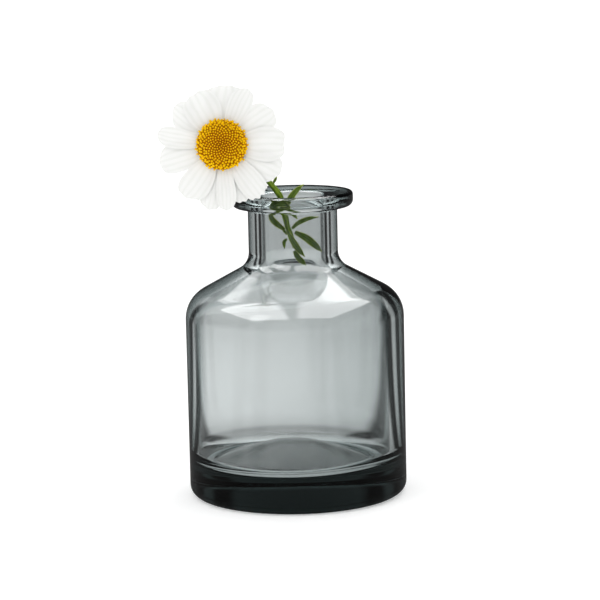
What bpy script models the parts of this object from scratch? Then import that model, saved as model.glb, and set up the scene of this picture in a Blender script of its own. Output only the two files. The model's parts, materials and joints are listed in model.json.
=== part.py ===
"""Smoked glass bud vase with one daisy sprig standing in its neck.

Metres, +Z up. The origin is the centre of the flat underside, on the bottle's
axis. The bottle is one piece of glass, turned from a profile. The daisy is a
stem with its leaves, and a head that nods on the end of the stem: the cup, the
disc and fourteen ray petals. The head faces -Y.
"""

import math
from typing import NamedTuple

import bmesh
import bpy
from mathutils import Matrix, Vector

MM = 0.001

# --- Bottle: driving dimensions -------------------------------------------
BOTTLE_HEIGHT = 88.0 * MM
BODY_RADIUS = 31.5 * MM
BODY_WALL = 3.6 * MM
FLOOR_THICKNESS = 8.3 * MM
HEEL_ROUND = 3.3 * MM
FLOOR_ROUND = 4.5 * MM
FLOOR_RISE = 7.0 * MM           # the floor domes up by this in the middle
FLOOR_CROWN = 0.20              # the dome's flat top, as a share of the cavity's radius
FLOOR_CROWN_ROUND = 24.0 * MM

SHOULDER_SLOPE = math.radians(28.5)
SHOULDER_WALL = 3.2 * MM
SHOULDER_ROUND = 9.4 * MM
SHOULDER_ROUND_INSIDE = 7.0 * MM

NECK_RADIUS = 12.85 * MM
NECK_LENGTH = 16.1 * MM
NECK_FOOT_ROUND = 5.5 * MM
BORE_RADIUS = 9.0 * MM
BORE_FOOT_ROUND = 6.5 * MM

RIM_RADIUS = 17.45 * MM
RIM_THICKNESS = 4.4 * MM
RIM_TOP_ROUND = 1.0 * MM
RIM_UNDER_ROUND = 1.9 * MM
RIM_NECK_ROUND = 1.0 * MM
RIM_CREST_INSET = 1.4 * MM
RIM_CREST_ROUND = 3.0 * MM
RIM_DISH = 1.0 * MM
MOUTH_ROUND = 0.7 * MM

BOTTLE_STEPS = 48

# --- Daisy head: driving dimensions ---------------------------------------
HEAD_TILT = math.radians(12.0)
HEAD_ASIDE = 19.3 * MM
HEAD_ABOVE_MOUTH = 15.2 * MM
RIM_TO_PETALS = 1.2 * MM

DISC_RADIUS = 7.35 * MM
DISC_HEIGHT = 3.4 * MM
PETAL_ROOT = 6.0 * MM
PETAL_THICKNESS = 0.45 * MM
LAYER_PITCH = 0.9 * MM
PETAL_DROOP = 0.6 * MM
PETAL_CAMBER = 0.2 * MM
CUP_RADIUS = 5.8 * MM
CUP_DEPTH = 4.2 * MM
STALK_RADIUS = 1.0 * MM
PIVOT_BEHIND_PETALS = 6.2 * MM

# --- Sprig: driving dimensions --------------------------------------------
STEM_RADIUS = 0.8 * MM
LEAF_THICKNESS = 0.5 * MM
LEAF_ROOT_BREADTH = 0.35
LEAF_BELLY_END = 0.9
PART_GAP = 0.3 * MM
SPRIG_CLEARANCE = 0.45 * MM
SPRIG_REACH = 8.55 * MM


class Petal(NamedTuple):
    """One ray petal: direction round the head, reach from its centre, width."""

    angle: float
    reach: float
    width: float


class Leaf(NamedTuple):
    """One leaf: height of its root under the mouth, its run, and its width."""

    name: str
    root_drop: float
    run: tuple
    width: float
    from_side: bool = True


# Angle in degrees, counter-clockwise from +X seen from the front; reach and
# width in millimetres.
PETALS = (
    Petal(141, 17.6, 7.6),
    Petal(118, 16.6, 6.6),
    Petal(85, 17.0, 8.8),
    Petal(64, 17.4, 6.0),
    Petal(34, 17.6, 7.4),
    Petal(0, 18.2, 8.8),
    Petal(-27, 17.4, 7.4),
    Petal(-53, 18.4, 6.8),
    Petal(-71, 16.6, 5.6),
    Petal(-87, 18.4, 5.0),
    Petal(-103, 18.0, 6.4),
    Petal(-126, 18.2, 7.2),
    Petal(-165, 17.6, 7.6),
    Petal(169, 18.4, 6.0),
)

# Millimetres from the centre of the mouth, for a sprig that reaches
# SPRIG_REACH from the axis.
STEM_IN_NECK = (
    (-5.1, -3.7, 1.4),
    (-3.3, -3.0, -1.5),
    (-2.5, -2.4, -4.5),
    (-2.0, -2.2, -7.5),
    (-1.3, -2.0, -10.5),
    (-0.5, -1.8, -13.0),
    (0.4, -1.6, -16.5),
)

# Millimetres from the head's pivot, behind the petals.
STEM_BEHIND_HEAD = (
    (0.0, 3.3, -0.7),
    (2.3, 5.4, -2.4),
    (6.7, 5.6, -5.4),
    (11.2, 5.1, -9.0),
)

LEAVES = (
    Leaf("leaf_above_rim", 3.6,
         ((-1.2, -3.9, -2.3), (-0.5, -3.7, -0.8), (1.1, -3.3, 0.6), (3.1, -3.0, 2.0)), 1.7),
    Leaf("leaf_bract", -2.6,
         ((-5.0, -4.9, 3.8), (-4.3, -5.1, 4.8)), 0.8),
    Leaf("leaf_curled_top", 5.2,
         ((-4.6, -3.9, -4.3), (-4.4, -4.8, -3.4), (-2.6, -5.0, -3.1), (-0.4, -4.7, -4.0)), 1.4),
    Leaf("leaf_curled_left", 9.6,
         ((-3.4, -3.4, -9.2), (-4.9, -3.5, -7.6), (-5.8, -3.2, -5.9), (-5.9, -2.2, -4.6)), 1.4),
    Leaf("leaf_mid_right", 5.0,
         ((-0.6, -3.3, -5.5), (0.3, -3.5, -6.3), (1.1, -3.6, -7.1)), 1.2),
    Leaf("leaf_right", 10.4,
         ((0.4, -2.3, -9.3), (1.9, -2.4, -8.3), (4.6, -2.3, -7.5), (7.2, -2.1, -7.2)), 1.2),
    Leaf("leaf_lower_right", 12.2,
         ((1.5, -1.8, -11.9), (4.2, -1.6, -14.0), (6.3, -1.3, -15.8), (8.0, -0.9, -17.4)), 1.9),
    Leaf("leaf_lower_front", 12.0,
         ((-0.4, -3.7, -12.6), (0.6, -4.0, -14.4), (1.7, -4.0, -16.4), (2.8, -3.8, -18.2)), 1.7),
    Leaf("leaf_lowest", 16.5,
         ((0.9, -1.5, -18.0), (1.6, -1.3, -19.4), (2.4, -1.1, -20.6), (3.2, -1.0, -21.9)), 1.7,
         from_side=False),
    Leaf("leaf_small_left", 13.2,
         ((-2.2, -2.2, -13.9), (-2.5, -2.3, -14.9), (-2.2, -2.3, -16.0)), 0.9),
    Leaf("leaf_stub_left", 11.9,
         ((-2.5, -0.8, -11.1), (-3.1, -0.6, -10.1)), 0.8),
)


# --- Scene and materials ---------------------------------------------------
def clear_scene():
    """Remove whatever the scene holds."""
    for obj in list(bpy.data.objects):
        bpy.data.objects.remove(obj, do_unlink=True)


def new_collection(name):
    """Make a collection and link it to the scene."""
    collection = bpy.data.collections.new(name)
    bpy.context.scene.collection.children.link(collection)
    return collection


def make_material(name, colour, roughness, metallic=0.0, transmission=0.0):
    """Make a plain Principled material."""
    material = bpy.data.materials.new(name)
    material.use_nodes = True
    shader = material.node_tree.nodes["Principled BSDF"]
    shader.inputs["Base Color"].default_value = (*colour, 1.0)
    shader.inputs["Roughness"].default_value = roughness
    shader.inputs["Metallic"].default_value = metallic
    shader.inputs["Transmission Weight"].default_value = transmission
    return material


# --- Profiles and routes ---------------------------------------------------
def round_corners(corners, arc_steps=4):
    """Turn (radius, height, round) corners into a profile with true arcs."""
    points = []
    last = len(corners) - 1
    for i, (r, z, rounding) in enumerate(corners):
        here = Vector((r, z))
        if rounding == 0.0 or i in (0, last):
            points.append(here)
            continue
        before = (Vector(corners[i - 1][:2]) - here).normalized()
        after = (Vector(corners[i + 1][:2]) - here).normalized()
        half = before.angle(after) / 2
        centre = here + (before + after).normalized() * rounding / math.sin(half)
        start = (here + before * rounding / math.tan(half) - centre).normalized()
        end = (here + after * rounding / math.tan(half) - centre).normalized()
        for k in range(arc_steps + 1):
            points.append(centre + start.slerp(end, k / arc_steps) * rounding)
    return points


def smooth_route(points, steps_per_span):
    """Points along a Catmull-Rom curve through the chosen points."""
    padded = [2 * points[0] - points[1], *points, 2 * points[-1] - points[-2]]
    route = []
    for a, b, c, d in zip(padded, padded[1:], padded[2:], padded[3:]):
        for k in range(steps_per_span):
            t = k / steps_per_span
            route.append(0.5 * (2 * b + (c - a) * t + (2 * a - 5 * b + 4 * c - d) * t * t
                                + (3 * b - a - 3 * c + d) * t ** 3))
    route.append(points[-1])
    return route


def turned(name, profile, steps, material, collection):
    """Spin an (r, z) profile round Z; it starts and ends on the axis."""
    mesh = bpy.data.meshes.new(name)
    bm = bmesh.new()
    verts = [bm.verts.new((p.x, 0.0, p.y)) for p in profile]
    for a, b in zip(verts, verts[1:]):
        bm.edges.new((a, b))
    bm.to_mesh(mesh)
    bm.free()
    obj = bpy.data.objects.new(name, mesh)
    collection.objects.link(obj)
    screw = obj.modifiers.new("turn", "SCREW")
    screw.axis = "Z"
    screw.steps = screw.render_steps = steps
    screw.use_merge_vertices = True
    screw.merge_threshold = 0.00001
    screw.use_smooth_shade = True
    mesh.materials.append(material)
    return obj


# --- Bottle ----------------------------------------------------------------
def bottle_corners():
    """Corners of the glass: cavity from its floor up, over the lip, down outside."""
    slope = math.tan(SHOULDER_SLOPE)
    neck_foot = BOTTLE_HEIGHT - RIM_THICKNESS - NECK_LENGTH
    shoulder_foot = neck_foot - (BODY_RADIUS - NECK_RADIUS) * slope
    wall_drop = SHOULDER_WALL / math.cos(SHOULDER_SLOPE)
    cavity_radius = BODY_RADIUS - BODY_WALL
    crest = RIM_RADIUS - RIM_CREST_INSET
    cavity_top = neck_foot - (cavity_radius - NECK_RADIUS) * slope - wall_drop
    bore_foot = neck_foot - (BORE_RADIUS - NECK_RADIUS) * slope - wall_drop
    return (
        (0.0, FLOOR_THICKNESS + FLOOR_RISE, 0.0),
        (cavity_radius * FLOOR_CROWN, FLOOR_THICKNESS + FLOOR_RISE, FLOOR_CROWN_ROUND),
        (cavity_radius, FLOOR_THICKNESS, FLOOR_ROUND),
        (cavity_radius, cavity_top, SHOULDER_ROUND_INSIDE),
        (BORE_RADIUS, bore_foot, BORE_FOOT_ROUND),
        (BORE_RADIUS, BOTTLE_HEIGHT - RIM_DISH, MOUTH_ROUND),
        (crest, BOTTLE_HEIGHT, RIM_CREST_ROUND),
        (RIM_RADIUS, BOTTLE_HEIGHT, RIM_TOP_ROUND),
        (RIM_RADIUS, BOTTLE_HEIGHT - RIM_THICKNESS, RIM_UNDER_ROUND),
        (NECK_RADIUS, BOTTLE_HEIGHT - RIM_THICKNESS, RIM_NECK_ROUND),
        (NECK_RADIUS, neck_foot, NECK_FOOT_ROUND),
        (BODY_RADIUS, shoulder_foot, SHOULDER_ROUND),
        (BODY_RADIUS, 0.0, HEEL_ROUND),
        (0.0, 0.0, 0.0),
    )


def make_bottle(material, collection):
    """The one-piece glass bottle."""
    return turned("glass_bottle", round_corners(bottle_corners()), BOTTLE_STEPS,
                  material, collection)


# --- Daisy head ------------------------------------------------------------
def head_normal():
    """The way the flower faces."""
    return Vector((0.0, -math.cos(HEAD_TILT), math.sin(HEAD_TILT)))


def pivot_place():
    """Where the head nods, so its petals pass in front of the rim."""
    front = RIM_RADIUS + RIM_TO_PETALS - HEAD_ABOVE_MOUTH * math.tan(HEAD_TILT)
    petals = Vector((-HEAD_ASIDE, -front, BOTTLE_HEIGHT + HEAD_ABOVE_MOUTH))
    return petals - head_normal() * PIVOT_BEHIND_PETALS


def make_head_pivot(collection):
    """An empty on the nod axis; its +Z is the way the flower faces."""
    pivot = bpy.data.objects.new("head_pivot", None)
    pivot.empty_display_size = 5 * MM
    pivot.location = pivot_place()
    pivot.rotation_euler = (math.pi / 2 - HEAD_TILT, 0.0, 0.0)
    collection.objects.link(pivot)
    return pivot


def make_disc(material, collection, pivot):
    """The domed yellow disc in front of the petal roots."""
    base = LAYER_PITCH / 2 + PETAL_THICKNESS / 2 + PART_GAP
    corners = (
        (0.0, base + DISC_HEIGHT, 0.0),
        (DISC_RADIUS * 0.62, base + DISC_HEIGHT * 0.94, 3 * MM),
        (DISC_RADIUS, base + DISC_HEIGHT * 0.5, 1.5 * MM),
        (DISC_RADIUS * 0.9, base, 0.4 * MM),
        (0.0, base, 0.0),
    )
    disc = turned("flower_disc", round_corners(corners, 4), 28, material, collection)
    disc.parent = pivot
    disc.location = (0.0, 0.0, PIVOT_BEHIND_PETALS)
    return disc


def make_cup(material, collection, pivot):
    """The green cup behind the petals, with a ball end on the nod axis."""
    top = PIVOT_BEHIND_PETALS - LAYER_PITCH / 2 - PETAL_THICKNESS / 2 - PART_GAP
    corners = (
        (0.0, top, 0.0),
        (CUP_RADIUS, top, 0.5 * MM),
        (CUP_RADIUS * 0.8, top - CUP_DEPTH * 0.55, 1.5 * MM),
        (STALK_RADIUS, top - CUP_DEPTH, 0.8 * MM),
        (STALK_RADIUS, 0.0, 0.0),
    )
    profile = round_corners(corners, 3)
    ball_steps = 5
    for k in range(1, ball_steps + 1):
        turn = math.pi / 2 * k / ball_steps
        profile.append(Vector((STALK_RADIUS * math.cos(turn), -STALK_RADIUS * math.sin(turn))))
    profile[-1].x = 0.0
    cup = turned("flower_cup", profile, 20, material, collection)
    cup.parent = pivot
    return cup


def petal_breadth(t):
    """Width of a petal at t along it, as a share of its widest."""
    widest, root, tip_loss = 0.65, 0.5, 0.42
    if t < widest:
        return root + (1 - root) * math.sin(math.pi / 2 * t / widest)
    return 1 - tip_loss * ((t - widest) / (1 - widest)) ** 2


def make_petal(index, petal, material, collection, pivot):
    """One ray petal: a grid shaped to a blade, thickened about its middle."""
    name = f"ray_petal_{index + 1:02d}"
    length = petal.reach * MM - PETAL_ROOT
    tip_round = 0.13
    mesh = bpy.data.meshes.new(name)
    bm = bmesh.new()
    bmesh.ops.create_grid(bm, x_segments=8, y_segments=4, size=1.0)
    for vert in bm.verts:
        t, across = (vert.co.x + 1) / 2, vert.co.y
        along = t - tip_round * across ** 2 * t ** 4
        half = petal.width * MM / 2 * petal_breadth(t)
        rise = math.sin(math.pi * t) * PETAL_DROOP * 0.3 - PETAL_DROOP * t ** 3
        vert.co = (PETAL_ROOT + length * along, across * half,
                   rise - PETAL_CAMBER * across ** 2)
    bm.to_mesh(mesh)
    bm.free()
    mesh.materials.append(material)
    mesh.shade_smooth()
    obj = bpy.data.objects.new(name, mesh)
    collection.objects.link(obj)
    solid = obj.modifiers.new("thickness", "SOLIDIFY")
    solid.thickness = PETAL_THICKNESS
    solid.offset = 0.0
    layer = LAYER_PITCH / 2 if index % 2 else -LAYER_PITCH / 2
    obj.parent = pivot
    obj.location = (0.0, 0.0, PIVOT_BEHIND_PETALS + layer)
    obj.rotation_euler = (0.0, 0.0, math.radians(petal.angle))
    return obj


# --- Sprig -----------------------------------------------------------------
def neck_point(point):
    """A sprig point from its millimetres, spread to suit the bore."""
    fit = (BORE_RADIUS - SPRIG_CLEARANCE) / SPRIG_REACH
    return Vector((point[0] * MM * fit, point[1] * MM * fit, point[2] * MM))


def stem_route():
    """The stem's smooth run, from behind the head into the neck."""
    mouth = Vector((0.0, 0.0, BOTTLE_HEIGHT))
    pivot = pivot_place() - mouth
    start = pivot - head_normal() * (STALK_RADIUS + PART_GAP)
    behind = [pivot + Vector(p) * MM for p in STEM_BEHIND_HEAD]
    inside = [neck_point(p) for p in STEM_IN_NECK]
    return smooth_route([start, *behind, *inside], 4)


def make_stem(route, material, collection, mouth):
    """The stem as a round tube."""
    curve = bpy.data.curves.new("stem_route", "CURVE")
    curve.dimensions = "3D"
    curve.bevel_depth = STEM_RADIUS
    curve.bevel_resolution = 2
    curve.use_fill_caps = True
    spline = curve.splines.new("POLY")
    spline.points.add(len(route) - 1)
    for point, place in zip(spline.points, route):
        point.co = (*place, 1.0)
    curve.materials.append(material)
    stem = bpy.data.objects.new("flower_stem", curve)
    stem.parent = mouth
    collection.objects.link(stem)
    return stem


def leaf_route(leaf, route):
    """The leaf's middle line; it starts one gap off the stem's skin."""
    run = [neck_point(p) for p in leaf.run]
    place = min(range(1, len(route) - 1), key=lambda i: abs(route[i].z + leaf.root_drop * MM))
    root = route[place]
    along = (route[place + 1] - route[place - 1]).normalized()
    away = run[0] - root
    if leaf.from_side:
        away -= along * away.dot(along)
    half_root = max(LEAF_THICKNESS, leaf.width * MM * LEAF_ROOT_BREADTH) / 2
    start = root + away.normalized() * (STEM_RADIUS + PART_GAP + half_root)
    return smooth_route([start, *run], 3)


def leaf_breadth(t):
    """Width of a leaf at t along it, as a share of its widest."""
    swell = math.sin(math.pi * min(t / LEAF_BELLY_END, 1.0))
    return LEAF_ROOT_BREADTH + (1 - LEAF_ROOT_BREADTH) * max(swell, 0.0) ** 0.7


def make_leaf(leaf, route, material, collection, mouth):
    """A slim blade along its middle line, facing the front."""
    line = leaf_route(leaf, route)
    last = len(line) - 1
    front = Vector((0.0, -1.0, 0.0))
    mesh = bpy.data.meshes.new(leaf.name)
    bm = bmesh.new()
    bmesh.ops.create_grid(bm, x_segments=last, y_segments=2, size=1.0)
    for vert in bm.verts:
        step = round((vert.co.x + 1) / 2 * last)
        along = line[min(step + 1, last)] - line[max(step - 1, 0)]
        side = front.cross(along).normalized()
        half = leaf.width * MM / 2 * leaf_breadth(step / last)
        vert.co = line[step] + side * vert.co.y * half
    bm.to_mesh(mesh)
    bm.free()
    mesh.materials.append(material)
    mesh.shade_smooth()
    obj = bpy.data.objects.new(leaf.name, mesh)
    obj.parent = mouth
    collection.objects.link(obj)
    solid = obj.modifiers.new("thickness", "SOLIDIFY")
    solid.thickness = LEAF_THICKNESS
    solid.offset = 0.0
    return obj


# --- Assembly --------------------------------------------------------------
def main():
    """Build the vase and its daisy."""
    clear_scene()
    collection = new_collection("glass_bud_vase")
    glass = make_material("smoked_glass", (0.42, 0.45, 0.45), 0.02, transmission=1.0)
    green = make_material("stem_green", (0.13, 0.26, 0.04), 0.55)
    leaf_green = make_material("leaf_green", (0.10, 0.20, 0.03), 0.5)
    white = make_material("petal_white", (0.86, 0.87, 0.84), 0.6)
    yellow = make_material("disc_yellow", (0.78, 0.42, 0.01), 0.8)

    make_bottle(glass, collection)

    mouth = bpy.data.objects.new("mouth_centre", None)
    mouth.empty_display_size = 5 * MM
    mouth.matrix_world = Matrix.Translation((0.0, 0.0, BOTTLE_HEIGHT))
    collection.objects.link(mouth)
    route = stem_route()
    make_stem(route, green, collection, mouth)
    for leaf in LEAVES:
        make_leaf(leaf, route, leaf_green, collection, mouth)

    pivot = make_head_pivot(collection)
    make_disc(yellow, collection, pivot)
    make_cup(green, collection, pivot)
    for index, petal in enumerate(PETALS):
        make_petal(index, petal, white, collection, pivot)


main()
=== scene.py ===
"""Looks of the smoked glass bud vase and its daisy.

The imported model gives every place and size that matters: each visible piece is
built round the solid that it stands for. Metres, +Z up; the flower faces -Y.
"""

from __future__ import annotations

import json
import logging
import math
import random
from contextlib import contextmanager
from dataclasses import dataclass, field
from enum import Enum
from typing import Callable, Iterable, Iterator, Sequence

import bmesh
import bpy
from mathutils import Matrix, Vector, noise

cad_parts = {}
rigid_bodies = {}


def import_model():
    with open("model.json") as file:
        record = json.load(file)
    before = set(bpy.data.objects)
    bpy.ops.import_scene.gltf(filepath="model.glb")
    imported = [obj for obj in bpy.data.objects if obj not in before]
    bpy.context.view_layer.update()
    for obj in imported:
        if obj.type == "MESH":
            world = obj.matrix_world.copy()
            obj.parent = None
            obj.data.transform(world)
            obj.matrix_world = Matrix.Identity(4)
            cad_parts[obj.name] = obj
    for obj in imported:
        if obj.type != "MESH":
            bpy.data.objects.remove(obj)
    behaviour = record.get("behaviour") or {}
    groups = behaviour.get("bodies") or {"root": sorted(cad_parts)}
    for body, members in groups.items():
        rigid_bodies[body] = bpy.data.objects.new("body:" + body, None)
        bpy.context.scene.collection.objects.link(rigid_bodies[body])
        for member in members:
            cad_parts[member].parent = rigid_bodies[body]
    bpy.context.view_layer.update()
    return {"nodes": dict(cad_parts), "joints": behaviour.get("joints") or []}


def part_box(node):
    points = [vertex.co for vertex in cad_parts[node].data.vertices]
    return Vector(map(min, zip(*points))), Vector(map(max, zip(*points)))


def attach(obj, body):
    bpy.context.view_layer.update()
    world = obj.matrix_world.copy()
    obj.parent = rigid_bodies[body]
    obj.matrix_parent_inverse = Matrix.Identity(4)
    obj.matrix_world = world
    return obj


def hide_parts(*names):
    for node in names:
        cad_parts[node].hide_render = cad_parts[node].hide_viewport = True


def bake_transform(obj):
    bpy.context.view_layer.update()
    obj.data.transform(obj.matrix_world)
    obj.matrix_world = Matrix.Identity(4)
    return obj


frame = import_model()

MM = 0.001
GOLDEN_ANGLE = math.radians(137.508)

log = logging.getLogger("bud_vase")

Colour = tuple[float, float, float]
Profile = list[Vector]


class Body(Enum):
    """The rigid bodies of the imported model."""

    VASE = "vase"
    SPRIG = "daisy_sprig"
    HEAD = "daisy_head"


class Slot(Enum):
    """The record's material slots."""

    GLASS = "smoked_glass"
    PETAL = "petal_white"
    DISC = "disc_yellow"
    STEM = "stem_green"
    LEAF = "leaf_green"


# --- Small tools ------------------------------------------------------------
def pick_only(obj: bpy.types.Object) -> None:
    """Deselect everything, then select and activate one object.

    Args:
        obj: The object to work on.
    """
    for other in bpy.context.scene.objects:
        other.select_set(False)
    obj.select_set(True)
    bpy.context.view_layer.objects.active = obj


@contextmanager
def editing(obj: bpy.types.Object) -> Iterator[None]:
    """Edit mode on one object, picking points, with nothing selected in it at the start.

    Args:
        obj: The mesh object to edit.
    """
    pick_only(obj)
    bpy.ops.object.mode_set(mode="EDIT")
    bpy.ops.mesh.select_mode(type="VERT")
    bpy.ops.mesh.select_all(action="DESELECT")
    yield
    bpy.ops.object.mode_set(mode="OBJECT")


def added(name: str) -> bpy.types.Object:
    """Name the object that an add operator has just made.

    Args:
        name: The name for it and its mesh.

    Returns:
        The object.
    """
    obj = bpy.context.view_layer.objects.active
    obj.name = obj.data.name = name
    return obj


def pick_faces(obj: bpy.types.Object, test: Callable[[bmesh.types.BMFace], bool]) -> None:
    """Select the faces that pass a test, in edit mode.

    Args:
        obj: The object in edit mode.
        test: Says whether a face is wanted, from its place or normal.
    """
    bm = bmesh.from_edit_mesh(obj.data)
    bpy.ops.mesh.select_all(action="DESELECT")
    bpy.ops.mesh.select_mode(type="FACE")
    for face in bm.faces:
        face.select_set(test(face))
    bmesh.update_edit_mesh(obj.data)


def apply_modifier(obj: bpy.types.Object, kind: str, **settings: object) -> None:
    """Add a modifier with these settings and apply it.

    Args:
        obj: The object to work on.
        kind: The modifier's type.
        **settings: Its properties.
    """
    pick_only(obj)
    modifier = obj.modifiers.new(kind.lower(), kind)
    for key, value in settings.items():
        setattr(modifier, key, value)
    bpy.ops.object.modifier_apply(modifier=modifier.name)


def close_skin(obj: bpy.types.Object, merge: float = 1e-6) -> None:
    """Merge doubled points and turn every face outwards.

    Args:
        obj: The mesh object.
        merge: Points closer than this become one, in metres.
    """
    with editing(obj):
        bpy.ops.mesh.select_all(action="SELECT")
        bpy.ops.mesh.remove_doubles(threshold=merge)
        bpy.ops.mesh.normals_make_consistent(inside=False)


def trace_outline(name: str, outline: Profile) -> bpy.types.Object:
    """Extrude a single point along an outline in the XZ plane.

    Args:
        name: The new object's name.
        outline: Its (radius, height) points.

    Returns:
        The wire object.
    """
    bpy.ops.mesh.primitive_plane_add(size=MM)
    wire = added(name)
    with editing(wire):
        bpy.ops.mesh.select_all(action="SELECT")
        bpy.ops.mesh.merge(type="CENTER")
        bpy.ops.mesh.select_all(action="SELECT")
        bpy.ops.transform.translate(value=(outline[0].x, 0.0, outline[0].y))
        for a, b in zip(outline, outline[1:]):
            bpy.ops.mesh.extrude_region_move(
                TRANSFORM_OT_translate={"value": (b.x - a.x, 0.0, b.y - a.y)})
    return wire


def turn_wire(wire: bpy.types.Object, steps: int, merge: float = 1e-6) -> None:
    """Turn a wire once round Z, and close the skin that it leaves.

    Args:
        wire: The outline, which becomes the skin.
        steps: How many faces go round.
        merge: Points closer than this become one, in metres.
    """
    with editing(wire):
        bpy.ops.mesh.select_all(action="SELECT")
        bpy.ops.mesh.spin(steps=steps, angle=2 * math.pi, center=(0, 0, 0), axis=(0, 0, 1))
    close_skin(wire, merge)


def smooth(obj: bpy.types.Object, angle: float = 60.0) -> None:
    """Shade smooth, with edges sharper than the angle (degrees) left crisp."""
    pick_only(obj)
    bpy.ops.object.shade_smooth_by_angle(angle=math.radians(angle))


def smooth_step(low: float, high: float, value: float) -> float:
    """A step eased at both ends.

    Args:
        low: Where it is 0.
        high: Where it is 1; it may be less than low.
        value: Where it is read.

    Returns:
        The step there, from 0 to 1.
    """
    t = min(max((value - low) / (high - low), 0.0), 1.0)
    return t * t * (3 - 2 * t)


def smooth_route(points: Sequence[Vector], steps: int) -> list[Vector]:
    """Points along a Catmull-Rom curve through the chosen points.

    Args:
        points: The chosen points.
        steps: Points to a span.

    Returns:
        The route, with the last chosen point at its end.
    """
    padded = [2 * points[0] - points[1], *points, 2 * points[-1] - points[-2]]
    route = []
    for a, b, c, d in zip(padded, padded[1:], padded[2:], padded[3:]):
        for k in range(steps):
            t = k / steps
            route.append(0.5 * (2 * b + (c - a) * t + (2 * a - 5 * b + 4 * c - d) * t * t
                                + (3 * b - a - 3 * c + d) * t ** 3))
    return [*route, points[-1].copy()]


def round_corners(corners: Iterable[tuple[float, float, float]], step_deg: float) -> Profile:
    """Turn (radius, height, round) corners into an outline with true arcs.

    Args:
        corners: The outline's corners, in metres; a round of 0 stays sharp.
        step_deg: The turn between two points of an arc.

    Returns:
        The outline's points as 2D vectors.
    """
    corners = list(corners)
    points: Profile = []
    for i, (r, z, rounding) in enumerate(corners):
        here = Vector((r, z))
        if rounding == 0.0:
            points.append(here)
            continue
        before = (Vector(corners[i - 1][:2]) - here).normalized()
        after = (Vector(corners[i + 1][:2]) - here).normalized()
        half = before.angle(after) / 2
        centre = here + (before + after).normalized() * rounding / math.sin(half)
        start = (here + before * rounding / math.tan(half) - centre).normalized()
        end = (here + after * rounding / math.tan(half) - centre).normalized()
        count = max(2, round(math.degrees(math.pi - 2 * half) / step_deg))
        points += [centre + start.slerp(end, k / count) * rounding for k in range(count + 1)]
    return points


def show(obj: bpy.types.Object, body: Body, slot: Slot, *nodes: str) -> None:
    """Ride the piece on its body, and hide the solids that it stands for.

    Args:
        obj: The finished piece.
        body: The body that carries it.
        slot: The record's material slot; not used.
        *nodes: The CAD nodes that it stands for.
    """
    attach(obj, body.value)
    if nodes:
        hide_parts(*nodes)
    log.info("%s: %d faces", obj.name, len(obj.data.polygons))


def node_points(name: str) -> list[Vector]:
    """The vertices of a CAD node, in metres."""
    return [v.co.copy() for v in frame["nodes"][name].data.vertices]


def centre_of(name: str) -> Vector:
    """The middle of a CAD node's vertices."""
    points = node_points(name)
    return sum(points, Vector()) / len(points)


def head_hinge() -> tuple[Vector, Vector, Vector]:
    """Where the flower head nods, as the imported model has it.

    Returns:
        The pivot, the way the head faces and the hinge's axis.
    """
    joint = next(j for j in frame["joints"] if j["name"] == "head_nod")
    pivot = Vector(joint["pos_m"])
    facing = (centre_of("flower_disc") - pivot).normalized()
    return pivot, facing, Vector(joint["axis"]).normalized()


def uv_layer(obj: bpy.types.Object) -> bpy.types.MeshUVLoopLayer:
    """The piece's UV map, made if it has none."""
    return obj.data.uv_layers.get("UVMap") or obj.data.uv_layers.new(name="UVMap")


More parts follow.
